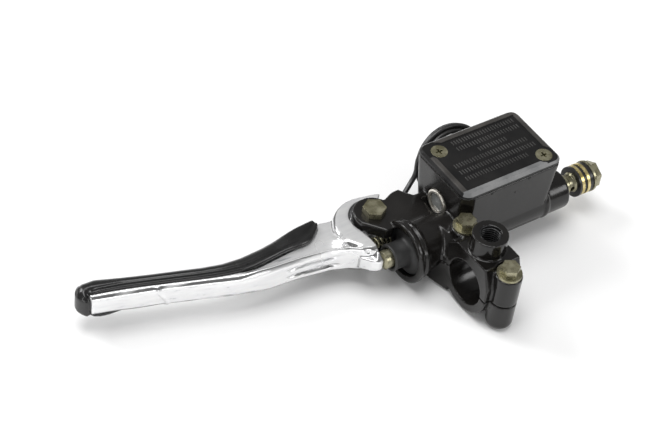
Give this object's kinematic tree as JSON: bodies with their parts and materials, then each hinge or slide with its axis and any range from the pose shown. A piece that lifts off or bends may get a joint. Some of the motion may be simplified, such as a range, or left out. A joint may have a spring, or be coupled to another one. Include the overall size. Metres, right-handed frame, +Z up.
{
  "type": "brake master cylinder",
  "caption": "Handlebar brake master cylinder with a covered lever, split clamp, square fluid reservoir with sight glass and lid, booted piston, hose bolt and coiled switch lead.",
  "frame": {"origin": "axis of the handlebar clamp, at the middle of its width", "axes": "+X along the handlebar from the lever's tip towards the hose outlet, +Y forwards to the cylinder and lever, +Z up through the reservoir's lid"},
  "size_m": [0.2562, 0.0979, 0.0468],
  "materials": {
    "casting": "gloss black paint on cast aluminium",
    "olive_steel": "olive zinc plating",
    "lid": "satin black with a worn bright border",
    "rubber": "satin black",
    "black_plastic": "matt black",
    "steel": "plain",
    "bezel": "turned",
    "glass": "clear dome",
    "brass": "bright",
    "spacer": "black",
    "polished_lever": "polished casting",
    "soft_cover": "smooth satin black",
    "lead": "black insulation"
  },
  "bodies": {
    "body": {"master_cylinder_body": "casting", "clamp_cap": "casting", "clamp_bolts": "olive_steel", "pivot_bolt": "olive_steel", "pivot_nut": "olive_steel", "reservoir_lid": "lid", "lid_screws": "olive_steel", "diaphragm": "rubber", "diaphragm_plate": "black_plastic", "port_baffle": "steel", "sight_glass_bezel": "bezel", "sight_glass_lens": "glass", "sight_glass_seal": "rubber", "banjo_bolt": "olive_steel", "sealing_washers": "brass", "washer_rubbers": "rubber", "hose_spacers": "spacer", "dust_boot": "rubber", "stop_washer": "steel", "circlip": "steel", "piston_return_spring": "steel", "lever_return_spring": "steel", "switch_housing": "black_plastic", "switch_screw": "steel", "lead_strain_relief": "black_plastic", "lead_run": "lead", "lead_coil": "lead", "lead_end": "lead", "lead_tie": "black_plastic", "lead_connector": "black_plastic"},
    "lever": {"brake_lever": "polished_lever", "lever_cover": "soft_cover", "pivot_bush": "brass"},
    "piston": {"piston": "olive_steel", "primary_cup": "rubber", "secondary_cup": "rubber"},
    "plunger": {"switch_plunger": "black_plastic"}
  },
  "joints": [
    {"name": "lever_pivot", "type": "hinge", "parent": "body", "child": "lever", "pos_m": [-0.0275, 0.048, 0], "axis": [0, 0, 1], "range_deg": [0, 17], "stiffness_Nm_per_rad": 1.5, "springref_deg": -8.59, "deforming": ["dust_boot", "lever_return_spring"]},
    {"name": "piston_slide", "type": "slide", "parent": "body", "child": "piston", "axis": [1, 0, 0], "range_m": [0, 0.0065], "deforming": ["piston_return_spring"]},
    {"name": "switch_slide", "type": "slide", "parent": "body", "child": "plunger", "axis": [-1, 0, 0], "range_m": [0, 0.0042]}
  ],
  "couplings": [
    {"joint": "piston_slide", "follows": "lever_pivot", "m_per_rad": 0.0204},
    {"joint": "switch_slide", "follows": "lever_pivot", "m_per_rad": 0.0134}
  ]
}
